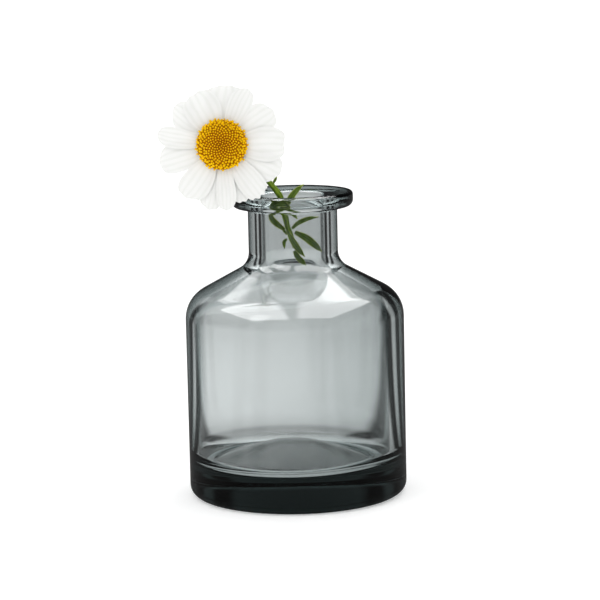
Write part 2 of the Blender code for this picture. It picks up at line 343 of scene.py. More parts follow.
# --- Shader tools -----------------------------------------------------------
class Graph:
    """A node tree that is easy to write: nodes by type, links by name."""

    def __init__(self, tree: bpy.types.NodeTree) -> None:
        """Start on a tree, whatever it holds."""
        self.tree = tree

    def node(self, kind: str, **values: object) -> bpy.types.Node:
        """Add a node, set its properties and sockets, and link what is a socket.

        Args:
            kind: The node type without its ShaderNode prefix.
            **values: Properties (lower case) or inputs, named with _ for a space;
                in_0 and so on name an input by its index.

        Returns:
            The node.
        """
        made = self.tree.nodes.new("ShaderNode" + kind)
        for key, value in values.items():
            if key.startswith("in_"):
                self.feed(made.inputs[int(key[3:])], value)
            elif hasattr(made, key) and not key[0].isupper():
                setattr(made, key, value)
            else:
                self.feed(made.inputs[key.replace("_", " ")], value)
        return made

    def feed(self, socket: bpy.types.NodeSocket, value: object) -> None:
        """Link another socket to this one, or set its value.

        Args:
            socket: The input.
            value: A socket, a number, a vector or a colour.
        """
        if isinstance(value, bpy.types.NodeSocket):
            self.tree.links.new(value, socket)
        elif isinstance(value, tuple) and len(value) == 3 and socket.type == "RGBA":
            socket.default_value = (*value, 1.0)
        else:
            socket.default_value = value

    def dress(self, shader: bpy.types.Node, **values: object) -> None:
        """Feed a shader's inputs, named with _ for a space."""
        for key, value in values.items():
            self.feed(shader.inputs[key.replace("_", " ")], value)

    def ramp(self, factor: bpy.types.NodeSocket, stops: Sequence[tuple[float, Colour]],
             ) -> bpy.types.NodeSocket:
        """A colour ramp.

        Args:
            factor: What it reads.
            stops: Its (place, colour) pairs, in order.

        Returns:
            The colour socket.
        """
        made = self.node("ValToRGB", Fac=factor)
        elements = made.color_ramp.elements
        while len(elements) < len(stops):
            elements.new(0.5)
        for element, (place, colour) in zip(elements, stops):
            element.position = place
            element.color = (*colour, 1.0)
        return made.outputs["Color"]

    def maths(self, operation: str, a: object, b: object = 0.0) -> bpy.types.NodeSocket:
        """One Math node; returns its value."""
        return self.node("Math", operation=operation, in_0=a, in_1=b).outputs[0]

    def mix(self, factor: object, a: object, b: object) -> bpy.types.NodeSocket:
        """One Mix node of two numbers; returns the result."""
        return self.node("Mix", data_type="FLOAT", Factor=factor, in_2=a, in_3=b).outputs[0]

    def mix_colours(self, factor: object, a: object, b: object) -> bpy.types.NodeSocket:
        """One Mix node of two colours; returns the result."""
        return self.node("Mix", data_type="RGBA", Factor=factor, in_6=a, in_7=b).outputs[2]

    def span(self, value: object, low: float = 0.0, high: float = 1.0, start: object = 0.0,
             end: object = 1.0, eased: bool = False) -> bpy.types.NodeSocket:
        """One Map Range node.

        Args:
            value: What it reads.
            low: Where the result is start.
            high: Where it is end.
            start: The result at low and before it.
            end: The result at high and past it.
            eased: Whether both ends are eased.

        Returns:
            The result.
        """
        kind = "SMOOTHSTEP" if eased else "LINEAR"
        return self.node("MapRange", interpolation_type=kind, Value=value, in_1=low, in_2=high,
                         in_3=start, in_4=end).outputs[0]


def fibre_group() -> bpy.types.NodeTree:
    """Plant fibres: fine lines that run along V, with slow mottling.

    Returns:
        The group. Mottle is the slow change, and Height the lines and mottle together.
    """
    tree = bpy.data.node_groups.new("plant_fibre", "ShaderNodeTree")
    tree.interface.new_socket("Vector", in_out="INPUT", socket_type="NodeSocketVector")
    for key, value in (("Lines", 14.0), ("Wander", 0.6), ("Mottle Scale", 3.0)):
        socket = tree.interface.new_socket(key, in_out="INPUT", socket_type="NodeSocketFloat")
        socket.default_value = value
    for key in ("Mottle", "Height"):
        tree.interface.new_socket(key, in_out="OUTPUT", socket_type="NodeSocketFloat")
    entry = tree.nodes.new("NodeGroupInput").outputs
    exit_ = tree.nodes.new("NodeGroupOutput")
    graph = Graph(tree)
    split = graph.node("SeparateXYZ", Vector=entry["Vector"])
    drift = graph.node("TexNoise", Vector=entry["Vector"], Scale=2.5, Detail=2.0)
    bend = graph.maths("MULTIPLY", drift.outputs["Fac"], entry["Wander"])
    lines = graph.maths("MULTIPLY", split.outputs["X"], entry["Lines"])
    across = graph.maths("ADD", lines, bend)
    wave = graph.maths("SINE", graph.maths("MULTIPLY", across, 2 * math.pi))
    mottle = graph.node("TexNoise", Vector=entry["Vector"], Scale=entry["Mottle Scale"],
                        Detail=4.0, Roughness=0.6)
    mask = graph.maths("ADD", graph.maths("MULTIPLY", wave, 0.5), 0.5)
    height = graph.maths("ADD", graph.maths("MULTIPLY", mask, 0.7),
                         graph.maths("MULTIPLY", mottle.outputs["Fac"], 0.6))
    graph.dress(exit_, Mottle=mottle.outputs["Fac"], Height=height)
    return tree


def new_material(name: str) -> tuple[bpy.types.Material, Graph, bpy.types.Node, bpy.types.Node]:
    """A material with its Principled shader and its output.

    Args:
        name: The material's name.

    Returns:
        The material, its graph, the Principled node and the output node.
    """
    material = bpy.data.materials.new(name)
    material.use_nodes = True
    nodes = material.node_tree.nodes
    return material, Graph(material.node_tree), nodes["Principled BSDF"], nodes["Material Output"]


# --- Finishes ---------------------------------------------------------------
@dataclass(frozen=True)
class SmokedGlass:
    """Clear smoke-grey glass; the tint is in its depth, and painted shade darkens its colour where
    it is seen edge on.
    """

    ior: float = 1.5
    tint: Colour = (0.13, 0.20, 0.20)
    density: float = 90.0
    polish: float = 0.004
    smear: float = 8.0
    ripple: float = 0.03
    # Base colours from face on to edge on: painted shade that darkens the glass towards its edges.
    face: Colour = (0.91, 0.925, 0.925)
    turned: Colour = (0.22, 0.27, 0.27)
    steep: Colour = (0.02, 0.03, 0.03)
    edge: Colour = (0.004, 0.006, 0.006)
    seeds: float = 95.0
    seed_size: float = 0.022
    seed_share: float = 0.09
    seed_tone: Colour = (0.05, 0.06, 0.06)

    def build(self) -> bpy.types.Material:
        """Make the material, with a faint ripple left by the mould, a few tiny seeds and painted
        shade towards its edges.

        Returns:
            The material.
        """
        material, graph, shader, output = new_material("smoked_glass")
        place = graph.node("TexCoord").outputs["Object"]
        slow = graph.node("TexNoise", Vector=place, Scale=70.0, Detail=1.0)
        smear = graph.node("TexNoise", Vector=place, Scale=180.0, Detail=3.0)
        polish = graph.span(smear.outputs["Fac"], 0.55, 0.8, self.polish,
                            self.polish * self.smear)
        # Painted shade: the base colour darkens from face on to edge on, standing in for the dark
        # edges of thick glass.
        facing = graph.node("LayerWeight", Blend=0.5).outputs["Facing"]
        painted_edge_shade = graph.ramp(facing, [(0.52, self.face), (0.70, self.turned),
                                            (0.86, self.steep), (1.0, self.edge)])
        cells = graph.node("TexVoronoi", Vector=place, Scale=self.seeds)
        dot = graph.maths("LESS_THAN", cells.outputs["Distance"], self.seed_size)
        chosen = graph.node("SeparateColor", Color=cells.outputs["Color"]).outputs["Red"]
        seed = graph.maths("MULTIPLY", dot, graph.maths("LESS_THAN", chosen, self.seed_share))
        bump = graph.node("Bump", Strength=self.ripple, Distance=0.3 * MM,
                          Height=slow.outputs["Fac"])
        graph.dress(shader, Base_Color=graph.mix_colours(seed, painted_edge_shade, self.seed_tone),
                    Roughness=polish, IOR=self.ior, Transmission_Weight=1.0,
                    Normal=bump.outputs["Normal"])
        depth = graph.node("VolumeAbsorption", Color=self.tint, Density=self.density)
        graph.dress(output, Volume=depth.outputs[0])
        return material


@dataclass(frozen=True)
class PlantSkin:
    """Petal, stem or leaf tissue: fibres along its length over slow mottling."""

    name: str
    light: Colour
    dark: Colour
    lines: float
    roughness: float
    relief: float
    glow: float
    scatter: Colour = (1.0, 1.0, 1.0)
    margin: Colour | None = None
    mottle_scale: float = 3.0

    def build(self, fibres: bpy.types.NodeTree) -> bpy.types.Material:
        """Make the material.

        Args:
            fibres: The shared fibre group.

        Returns:
            The material; it reads the piece's own UV map.
        """
        material, graph, shader, _ = new_material(self.name)
        uv = graph.node("UVMap").outputs["UV"]
        group = graph.node("Group", node_tree=fibres, Vector=uv, Lines=self.lines,
                           Mottle_Scale=self.mottle_scale)
        colour = graph.ramp(group.outputs["Height"], [(0.25, self.dark), (0.8, self.light)])
        if self.margin:
            side = graph.node("SeparateXYZ", Vector=uv).outputs["X"]
            off = graph.maths("ABSOLUTE", graph.maths("SUBTRACT", side, 0.5))
            colour = graph.mix_colours(graph.span(off, 0.36, 0.47), colour, self.margin)
        rough = graph.span(group.outputs["Mottle"], start=self.roughness - 0.08,
                           end=self.roughness + 0.1)
        bump = graph.node("Bump", Strength=self.relief, Distance=0.15 * MM,
                          Height=group.outputs["Height"])
        graph.dress(shader, Base_Color=colour, Roughness=rough, Subsurface_Weight=self.glow,
                    Subsurface_Scale=0.6 * MM, Subsurface_Radius=self.scatter,
                    Specular_IOR_Level=0.3, Normal=bump.outputs["Normal"])
        return material


@dataclass(frozen=True)
class FloretSkin:
    """The disc's grains: golden on the tips, a deeper orange on the young middle florets, and
    painted shade deep orange down in the pits between them.
    """

    name: str
    # The pit colour is painted shade down between the florets.
    pit_shade: Colour = (0.30, 0.10, 0.0)
    middle: Colour = (0.62, 0.26, 0.0)
    tip: Colour = (0.95, 0.62, 0.006)

    def build(self) -> bpy.types.Material:
        """Make the material.

        Returns:
            The material; it reads the tip and age attributes.
        """
        material, graph, shader, _ = new_material(self.name)
        tip = graph.node("Attribute", attribute_name="tip").outputs["Fac"]
        age = graph.node("Attribute", attribute_name="age").outputs["Fac"]
        place = graph.node("TexCoord").outputs["Object"]
        grain = graph.node("TexNoise", Vector=place, Scale=2600.0, Detail=2.0)
        # Painted shade: each floret darkens from its tip down to its base in the gaps between
        # florets; the young middle florets are a deeper orange too.
        ripe_and_shaded = graph.maths("ADD", graph.maths("MULTIPLY", tip, 0.62),
                           graph.maths("MULTIPLY", age, 0.36))
        spread = graph.maths("ADD", ripe_and_shaded, graph.maths("MULTIPLY", grain.outputs["Fac"], 0.12))
        colour = graph.ramp(spread, [(0.12, self.pit_shade), (0.42, self.middle), (0.82, self.tip)])
        bump = graph.node("Bump", Strength=0.4, Distance=0.05 * MM, Height=grain.outputs["Fac"])
        graph.dress(shader, Base_Color=colour, Roughness=0.85, Specular_IOR_Level=0.08,
                    Subsurface_Weight=0.1, Subsurface_Scale=0.3 * MM,
                    Subsurface_Radius=(1.0, 0.6, 0.1), Normal=bump.outputs["Normal"])
        return material


def mirrored(graph: Graph) -> bpy.types.NodeSocket:
    """1 for a ray that has just been mirrored, as in a gloss; 0 for any other.

    Args:
        graph: The graph of the floor or the room.

    Returns:
        The value.
    """
    path = graph.node("LightPath").outputs
    return graph.maths("SUBTRACT", path["Is Reflection Ray"], path["Is Diffuse Ray"])


def side_angle(graph: Graph, way: bpy.types.NodeSocket) -> bpy.types.NodeSocket:
    """The angle round Z from the nearest of the four sides, as 0 to 45 degrees in radians.

    Args:
        graph: The graph of the floor or the room.
        way: A place on the floor, or a direction of the room.

    Returns:
        The angle.
    """
    split = graph.node("SeparateXYZ", Vector=way)
    turn = graph.maths("ARCTAN2", split.outputs["X"], split.outputs["Y"])
    wrapped = graph.node("Math", operation="WRAP", in_0=turn, in_1=math.pi / 4, in_2=-math.pi / 4)
    return graph.maths("ABSOLUTE", wrapped.outputs[0])


def dark_corners(graph: Graph, way: bpy.types.NodeSocket, level: float) -> bpy.types.NodeSocket:
    """Two dark cards in each of the four corners, which glass bends into its edges; in the room
    they are darker light, and on the floor they are painted shade.

    Args:
        graph: The graph of the floor or the room.
        way: A place on the floor, or a direction of the room.
        level: How bright a card is.

    Returns:
        1 between the cards, and the level on them.
    """
    side = side_angle(graph, way)
    card = graph.span(side, math.radians(23), math.radians(30), eased=True)
    slit = graph.span(side, math.radians(37), math.radians(43), eased=True)
    return graph.span(graph.maths("SUBTRACT", card, slit), start=1.0, end=level)


@dataclass(frozen=True)
class PaleFloor:
    """Matt near-white table, lit a little from below, evenly, and painted dim where it is seen in
    mirrored light.

    What glass bends to the eye is painted with rings of light and shade: a painted bright patch
    under the vase, a painted darker ring just past it, which deepens the base, and a wide painted
    pool of light that fades outwards.
    """

    colour: Colour = (0.92, 0.92, 0.92)
    glow: float = 0.30
    dim: float = 0.09
    dim_glow: float = 0.03
    # The level of the painted dark cards; the fields below set the painted pool, the painted darker
    # ring and the painted bright patch under the vase.
    card: float = 0.05
    bent_shade: float = 0.36
    painted_bent_glow: float = 0.92
    pool: tuple[float, float] = (0.17, 0.45)
    pool_edge: float = 0.66
    ring: tuple[float, float] = (0.06, 0.12)
    ring_light: float = 0.5
    under: tuple[float, float] = (34.0 * MM, 46.0 * MM)
    under_light: float = 1.2

    def bent(self, graph: Graph, place: bpy.types.NodeSocket) -> bpy.types.NodeSocket:
        """The painted light and shade of each place, in light that glass has bent.

        Args:
            graph: The floor's graph.
            place: The place on the floor.

        Returns:
            The brightness.
        """
        reach = graph.node("VectorMath", operation="LENGTH", in_0=place).outputs["Value"]
        # Painted light and shade: a wide pool of light fading outwards, a darker ring just past the
        # vase that deepens the base, painted dark cards in the corners and a bright patch under the
        # vase.
        pool = graph.span(reach, *self.pool, 1.0, self.pool_edge, eased=True)
        ring = graph.span(reach, *self.ring, self.ring_light, 1.0, eased=True)
        beyond = graph.maths("MULTIPLY", dark_corners(graph, place, self.card),
                             graph.maths("MULTIPLY", pool, ring))
        under = graph.span(reach, *self.under, 1.0, 0.0, eased=True)
        return graph.mix(under, beyond, self.under_light)

    def build(self) -> bpy.types.Material:
        """Make the material, with a hint of paper grain.

        Returns:
            The material.
        """
        material, graph, shader, _ = new_material("pale_floor")
        place = graph.node("TexCoord").outputs["Object"]
        grain = graph.node("TexNoise", Vector=place, Scale=30.0, Detail=4.0)
        colour = graph.ramp(grain.outputs["Fac"], [(0.0, tuple(c * 0.985 for c in self.colour)),
                                                   (1.0, self.colour)])
        through = graph.node("LightPath").outputs["Is Transmission Ray"]
        gloss = mirrored(graph)
        bent = self.bent(graph, place)
        # Painted light and shade: for light that glass has bent, the colour and glow follow bent();
        # in mirrored light both are painted dim, a painted dark reflection.
        shade = graph.mix(through, 1.0, graph.maths("MULTIPLY", bent, self.bent_shade))
        glow = graph.mix(through, self.glow, graph.maths("MULTIPLY", bent, self.painted_bent_glow))
        toned = graph.node("VectorMath", operation="SCALE", in_0=colour,
                           Scale=graph.mix(gloss, shade, self.dim))
        graph.dress(shader, Base_Color=toned.outputs[0], Emission_Color=(1.0, 1.0, 1.0),
                    Emission_Strength=graph.mix(gloss, glow, self.dim_glow), Roughness=0.9,
                    Specular_IOR_Level=0.0)
        return material


# --- Bottle -----------------------------------------------------------------
@dataclass
class Bottle:
    """The one-piece glass bottle, turned, then made as uneven inside as blown glass is."""

    finish: bpy.types.Material
    height: float = 88.0 * MM
    body_radius: float = 31.5 * MM
    body_wall: float = 3.6 * MM
    floor_edge: float = 8.3 * MM
    floor_rise: float = 7.0 * MM
    push_up: float = 0.7 * MM
    foot_inset: float = 5.5 * MM
    slope: float = math.radians(28.5)
    shoulder_wall: float = 3.2 * MM
    neck_radius: float = 12.85 * MM
    neck_length: float = 16.1 * MM
    bore_radius: float = 9.0 * MM
    rim_radius: float = 17.45 * MM
    rim_thickness: float = 4.4 * MM
    rim_dish: float = 1.0 * MM
    cavity_shift: float = 1.3 * MM
    wall_wave: float = 0.16 * MM
    right_wave: float = 0.60 * MM
    steps: int = 180

    @property
    def neck_foot(self) -> float:
        """The height where the neck meets the shoulders, outside."""
        return self.height - self.rim_thickness - self.neck_length

    @property
    def cavity_radius(self) -> float:
        """The hollow's radius in the body."""
        return self.body_radius - self.body_wall

    @property
    def shoulder_drop(self) -> float:
        """How far the hollow's shoulders lie under the outside ones."""
        return self.shoulder_wall / math.cos(self.slope)

    def cavity_corners(self) -> list[tuple[float, float, float]]:
        """Corners of the hollow, from its floor's centre up to the mouth.

        Returns:
            (radius, height, round) corners.
        """
        rise = math.tan(self.slope)
        wide = self.cavity_radius
        crown = self.floor_edge + self.floor_rise
        top = self.neck_foot - (wide - self.neck_radius) * rise - self.shoulder_drop
        bore_foot = (self.neck_foot + (self.neck_radius - self.bore_radius) * rise
                     - self.shoulder_drop)
        return [
            (0.0, crown, 0.0),
            (wide * 0.20, crown, 24.0 * MM),
            (wide, self.floor_edge, 4.5 * MM),
            (wide, top, 7.0 * MM),
            (self.bore_radius, bore_foot, 6.5 * MM),
            (self.bore_radius, self.height - self.rim_dish, 0.7 * MM),
        ]

    def outside_corners(self) -> list[tuple[float, float, float]]:
        """Corners of the outside, from the lip's crest down to the push-up.

        Returns:
            (radius, height, round) corners.
        """
        shoulder_foot = (self.neck_foot
                         - (self.body_radius - self.neck_radius) * math.tan(self.slope))
        under = self.height - self.rim_thickness
        return [
            (self.rim_radius - 1.4 * MM, self.height, 3.0 * MM),
            (self.rim_radius, self.height, 1.0 * MM),
            (self.rim_radius, under, 1.9 * MM),
            (self.neck_radius, under, 1.0 * MM),
            (self.neck_radius, self.neck_foot, 5.5 * MM),
            (self.body_radius, shoulder_foot, 9.4 * MM),
            (self.body_radius, 0.0, 3.3 * MM),
            (self.body_radius - self.foot_inset, 0.0, 1.0 * MM),
            (self.body_radius - self.foot_inset - 2.0 * MM, self.push_up, 2.0 * MM),
            (0.0, self.push_up, 0.0),
        ]

    def draw_outline(self) -> bpy.types.Object:
        """Draw the hollow and the outside as one wire.

        Returns:
            The wire object, with an attribute that marks the hollow's points.
        """
        corners = [*self.cavity_corners(), *self.outside_corners()]
        wire = trace_outline("vase_glass", round_corners(corners, 7.5))
        inside = wire.data.attributes.new("inside", "FLOAT", "POINT")
        mouth = self.height - self.rim_dish - 0.7 * MM
        for vertex, mark in zip(wire.data.vertices, inside.data):
            r, z = vertex.co.x, vertex.co.z
            in_hollow = self.inner_at(z) + 0.4 * MM > r and self.floor_edge - MM < z < mouth
            mark.value = float(in_hollow)
        return wire

    def inner_at(self, z: float) -> float:
        """The hollow's radius at a height, its corners left sharp."""
        over = (self.neck_foot - self.shoulder_drop - z) / math.tan(self.slope)
        return min(self.cavity_radius, max(self.bore_radius, self.neck_radius + over))

    def blow(self, vase: bpy.types.Object) -> None:
        """Shift and ripple the hollow, as glass blown in a mould comes out.

        Args:
            vase: The turned glass, with its inside attribute.
        """
        marks = vase.data.attributes["inside"].data
        for vertex, mark in zip(vase.data.vertices, marks):
            if mark.value < 0.5:
                continue
            here = vertex.co
            in_body = smooth_step(self.neck_foot - 1 * MM, self.neck_foot - 16 * MM, here.z)
            turn = math.atan2(here.y, here.x)
            out = Vector((here.x, here.y, 0.0))
            reach = out.length / self.body_radius
            right = smooth_step(-0.2, 1.0, math.cos(turn))
            wave = self.wall_wave * (0.6 * math.sin(3 * turn + 0.6) + 0.4 * math.sin(5 * turn + 2.1)
                                     + 0.5 * math.sin(here.z / (7 * MM) + 3 * turn))
            sway = math.sin(here.z / (6.2 * MM) + 0.9 * math.sin(2 * turn))
            wave += self.right_wave * right * (sway - 0.7)
            if out.length > 0.1 * MM:
                here += out.normalized() * wave * in_body * reach
            here.x -= self.cavity_shift * in_body * min(reach * 1.6, 1.0)
        vase.data.update()

    def build(self) -> bpy.types.Object:
        """Turn, blow and dress the bottle.

        Returns:
            The glass piece.
        """
        vase = self.draw_outline()
        turn_wire(vase, self.steps, 2e-6)
        self.blow(vase)
        vase.data.attributes.remove(vase.data.attributes["inside"])
        smooth(vase, 80)
        vase.data.materials.append(self.finish)
        show(vase, Body.VASE, Slot.GLASS, "glass_bottle")
        return vase


# --- Blades: petals and leaves ----------------------------------------------
@dataclass
class Blade:
    """A thin plant blade: a grid shaped over (across, along), then thickened."""

    name: str
    across: int
    along: int
    thickness: float

    def build(self, place: Callable[[float, float], Vector], finish: bpy.types.Material,
              ) -> bpy.types.Object:
        """Shape a flat grid and give it its thickness.

        Args:
            place: Gives a point for across in -1..1 and along in 0..1.
            finish: The material.

        Returns:
            The blade, with a UV map that runs across and along it.
        """
        bpy.ops.mesh.primitive_grid_add(x_subdivisions=self.across, y_subdivisions=self.along,
                                        size=2.0, calc_uvs=True)
        blade = added(self.name)
        for vertex in blade.data.vertices:
            vertex.co = place(vertex.co.x, (vertex.co.y + 1) / 2)
        blade.data.update()
        apply_modifier(blade, "SOLIDIFY", thickness=self.thickness, offset=0.0,
                       use_even_offset=True)
        close_skin(blade)
        smooth(blade, 70)
        blade.data.materials.append(finish)
        return blade


# --- Flower head ------------------------------------------------------------
@dataclass
class PetalPlan:
    """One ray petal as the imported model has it."""

    node: str
    turn: float
    reach: float
    width: float
    layer: float


@dataclass(frozen=True)
class PetalStyle:
    """How one petal differs: its spread, how blunt or slanted its tip is, and its notch."""

    spread: float = 1.12
    blunt: float = 2.4
    notch: float = 0.08
    teeth: int = 2
    skew: float = 0.0


PETAL_STYLES = (
    PetalStyle(1.04, 1.8, 0.05, skew=0.16), PetalStyle(1.55, 2.6, 0.12, 3, skew=0.05),
    PetalStyle(1.30, 3.0, 0.10, 3, skew=0.04), PetalStyle(1.08, 1.9, 0.05),
    PetalStyle(1.22, 2.1, 0.16, skew=0.06), PetalStyle(1.12, 1.9, 0.60, 1, skew=-0.04),
    PetalStyle(1.26, 2.0, 0.12, skew=-0.10), PetalStyle(1.06, 2.3, 0.32, 3, skew=0.04),
    PetalStyle(1.25, 2.2, 0.18, 3, skew=-0.08), PetalStyle(1.10, 2.1, 0.12),
    PetalStyle(1.04, 2.0, 0.18, skew=-0.08), PetalStyle(1.20, 2.1, 0.14, skew=0.10),
    PetalStyle(1.14, 2.1, 0.08, skew=-0.08), PetalStyle(1.00, 2.0, 0.05, skew=0.04),
)


@dataclass
class FlowerHead:
    """Disc florets, ray petals and the green cup, round the head's own axis."""

    petal_finish: bpy.types.Material
    floret_finish: bpy.types.Material
    core_finish: bpy.types.Material
    cup_finish: bpy.types.Material
    disc_radius: float = 7.25 * MM
    dome: float = 3.1 * MM
    dimple: float = 0.55 * MM
    florets: int = 330
    petal_root: float = 4.6 * MM
    petal_thickness: float = 0.22 * MM
    stalk_radius: float = 1.0 * MM
    scales: int = 13
    seed: int = 11
    pivot: Vector = field(init=False)
    axes: Matrix = field(init=False)
    layer_at: float = field(init=False, default=0.0)

    def __post_init__(self) -> None:
        """Read the head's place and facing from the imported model."""
        self.pivot, facing, right = head_hinge()
        self.axes = Matrix((right, facing.cross(right), facing)).transposed()

    def out(self, local: Vector) -> Vector:
        """A point of the head's own frame (+Z the way it faces) in the model's frame."""
        return self.pivot + self.axes @ local

    def local(self, name: str) -> list[Vector]:
        """A CAD node's vertices in the head's own frame."""
        back = self.axes.transposed()
        return [back @ (p - self.pivot) for p in node_points(name)]

    def plan(self, node: str) -> PetalPlan:
        """Measure one petal's direction, reach, width and layer.

        Args:
            node: The petal's CAD node.

        Returns:
            What was measured.
        """
        points = self.local(node)
        far = max(points, key=lambda p: p.xy.length)
        middle = sum((p.xy.normalized() for p in points), Vector((0.0, 0.0)))
        turn = math.atan2(middle.y, middle.x)
        side = Vector((-math.sin(turn), math.cos(turn)))
        spread = [p.xy.dot(side) for p in points]
        root = min(p.xy.length for p in points)
        layer = [p.z for p in points if p.xy.length < root + 1.2 * MM]
        return PetalPlan(node, turn, far.xy.length, max(spread) - min(spread),
                         sum(layer) / len(layer))

    def petal(self, plan: PetalPlan, index: int) -> bpy.types.Object:
        """Model one petal: grooved along its length, softly notched at its tip.

        Args:
            plan: Its place and size.
            index: Its number, which seeds its small differences.

        Returns:
            The petal.
        """
        dice = random.Random(self.seed + index)
        curl, droop = dice.uniform(-0.25, 0.3) * MM, dice.uniform(0.2, 0.7) * MM
        twist, lean = math.radians(dice.uniform(-4, 4)), dice.uniform(-0.35, 0.35) * MM
        style = PETAL_STYLES[index % len(PETAL_STYLES)]
        notch, teeth, power = style.notch * MM, style.teeth, style.blunt
        ridge = dice.uniform(0.035, 0.07) * MM
        run = plan.reach - self.petal_root
        half = plan.width / 2 * style.spread
        tip_run = min(max(half * 1.05, run * 0.3), run * 0.45)
        body = 0.62
        shift = Matrix.Rotation(plan.turn, 3, "Z")

        def place(s: float, t: float) -> Vector:
            """The blade's point at s across and t along.

            Args:
                s: From -1 at one side to 1 at the other.
                t: From 0 at the root to 1 at the tip.

            Returns:
                The point, in the model's frame.
            """
            if t < body:
                breadth = 0.44 + 0.56 * math.sin(math.pi / 2 * t / body)
                x, y = (run - tip_run) * t / body, s * half * breadth
            else:
                v = (t - body) / (1 - body)
                ahead, aside = v * math.sqrt(1 - s * s / 2), s * math.sqrt(1 - v * v / 2)
                size = math.hypot(ahead, aside)
                if size > 1e-6:
                    blunt = ((ahead / size) ** power + (abs(aside) / size) ** power) ** (-1 / power)
                    ahead, aside = ahead * blunt, aside * blunt
                x, y = run - tip_run + tip_run * min(ahead, 1.0), half * aside
                x -= tip_run * style.skew * v * (s + 1) - tip_run * abs(style.skew) * v * 0.4
                x -= v ** 3 * notch * (1 - math.cos(teeth * math.pi * (s + 1)))
            x += self.petal_root
            y += lean * math.sin(math.pi * t * 0.9)
            fade = math.sin(math.pi * min(t * 1.1, 1.0)) ** 0.6
            groove = ridge * math.cos(2.5 * math.pi * s) * fade
            z = (self.layer_at + (plan.layer - self.layer_at) * 0.62 + groove + curl * s * s * t
                 + 0.35 * MM * math.sin(math.pi * t) - droop * t ** 3 + y * math.sin(twist * t))
            z += 0.08 * MM * noise.noise(Vector((x, y, index * MM)) * 420.0)
            return self.out(shift @ Vector((x, y, z)))

        blade = Blade(f"petal_{index + 1:02d}", 22, 44, self.petal_thickness)
        petal = blade.build(place, self.petal_finish)
        show(petal, Body.HEAD, Slot.PETAL, plan.node)
        return petal

    def dome_at(self, r: float) -> tuple[float, float]:
        """The disc's dome, with a dimple in the middle.

        Args:
            r: The distance from the disc's axis.

        Returns:
            The height and the slope there.
        """
        def height_at(x: float) -> float:
            """The height at a share of the disc's radius."""
            return self.dome * (1 - x ** 2.6) ** 0.62 - self.dimple * math.exp(-(x / 0.28) ** 2)

        here = min(r / self.disc_radius, 0.995)
        ahead = min(here + 0.01, 0.999)
        rise = height_at(ahead) - height_at(here)
        return height_at(here), rise / ((ahead - here) * self.disc_radius)

    def bud(self) -> bpy.types.Object:
        """One closed floret: a small pointed grain.

        Returns:
            The pattern, to be copied.
        """
        bpy.ops.mesh.primitive_uv_sphere_add(segments=6, ring_count=5, radius=1.0)
        bud = added("bud_pattern")
        with editing(bud):
            pick_faces(bud, lambda f: f.calc_center_median().z > 0.3)
            bpy.ops.transform.resize(value=(0.8, 0.8, 1.5))
        return bud

    def bloom(self) -> bpy.types.Object:
        """One open floret: a little tube with a flared, hollow mouth.

        Returns:
            The pattern, to be copied.
        """
        bpy.ops.mesh.primitive_cylinder_add(vertices=6, radius=0.62, depth=1.6,
                                            end_fill_type="NGON")
        bloom = added("bloom_pattern")
        with editing(bloom):
            pick_faces(bloom, lambda f: f.normal.z > 0.9)
            bpy.ops.transform.resize(value=(1.35, 1.35, 1.0))
            bpy.ops.mesh.inset(thickness=0.34)
            bpy.ops.transform.translate(value=(0.0, 0.0, -0.42))
            pick_faces(bloom, lambda f: f.normal.z < -0.9)
            bpy.ops.transform.resize(value=(0.7, 0.7, 1.0))
        return bloom

    def scatter(self) -> bpy.types.Object:
        """Set the florets in their spiral, each a copy of a pattern.

        Returns:
            All the florets as one piece.
        """
        bud, bloom = self.bud(), self.bloom()
        lift = self.disc_base()
        dice = random.Random(self.seed)
        grown = bmesh.new()
        tips, ages = [], []
        for n in range(self.florets):
            share = (n + 0.5) / self.florets
            stray = 0.16 * MM * smooth_step(0.15, 0.5, share)
            r = self.disc_radius * 0.985 * math.sqrt(share) + dice.uniform(-stray, stray)
            turn = n * GOLDEN_ANGLE + dice.uniform(-stray, stray) / max(r, MM)
            z, slope = self.dome_at(r)
            size = (self.disc_radius * math.sqrt(1 / self.florets)
                    * (0.80 + 0.55 * share * dice.random()))
            lean = -math.atan(slope) * 0.8
            pattern = bloom if share > 0.30 + 0.2 * dice.random() else bud
            tall = size * 0.95
            place = (Matrix.Translation((r * math.cos(turn), r * math.sin(turn), lift + z))
                     @ Matrix.Rotation(turn, 4, "Z") @ Matrix.Rotation(lean, 4, "Y")
                     @ Matrix.Rotation(dice.uniform(0, 6.28), 4, "Z")
                     @ Matrix.Diagonal((size, size, tall * (1 + 0.3 * dice.random()), 1.0)))
            before = len(grown.verts)
            grown.from_mesh(pattern.data)
            grown.verts.ensure_lookup_table()
            for vertex in grown.verts[before:]:
                tips.append(min(max(vertex.co.z * 0.5 + 0.5, 0.0), 1.0))
                ages.append(min(max(share * 1.1 + dice.uniform(-0.08, 0.08), 0.0), 1.0))
                vertex.co = place @ vertex.co
        mesh = bpy.data.meshes.new("disc_florets")
        for vertex in grown.verts:
            vertex.co = self.out(vertex.co)
        grown.to_mesh(mesh)
        grown.free()
        for name, values in (("tip", tips), ("age", ages)):
            layer = mesh.attributes.new(name, "FLOAT", "POINT")
            layer.data.foreach_set("value", values)
        florets = bpy.data.objects.new("disc_florets", mesh)
        bpy.context.scene.collection.objects.link(florets)
        for pattern in (bud, bloom):
            bpy.data.objects.remove(pattern)
        smooth(florets, 50)
        mesh.materials.append(self.floret_finish)
        show(florets, Body.HEAD, Slot.DISC)
        return florets

    def disc_base(self) -> float:
        """The height of the disc's flat back, over the pivot."""
        return min(p.z for p in self.local("flower_disc"))

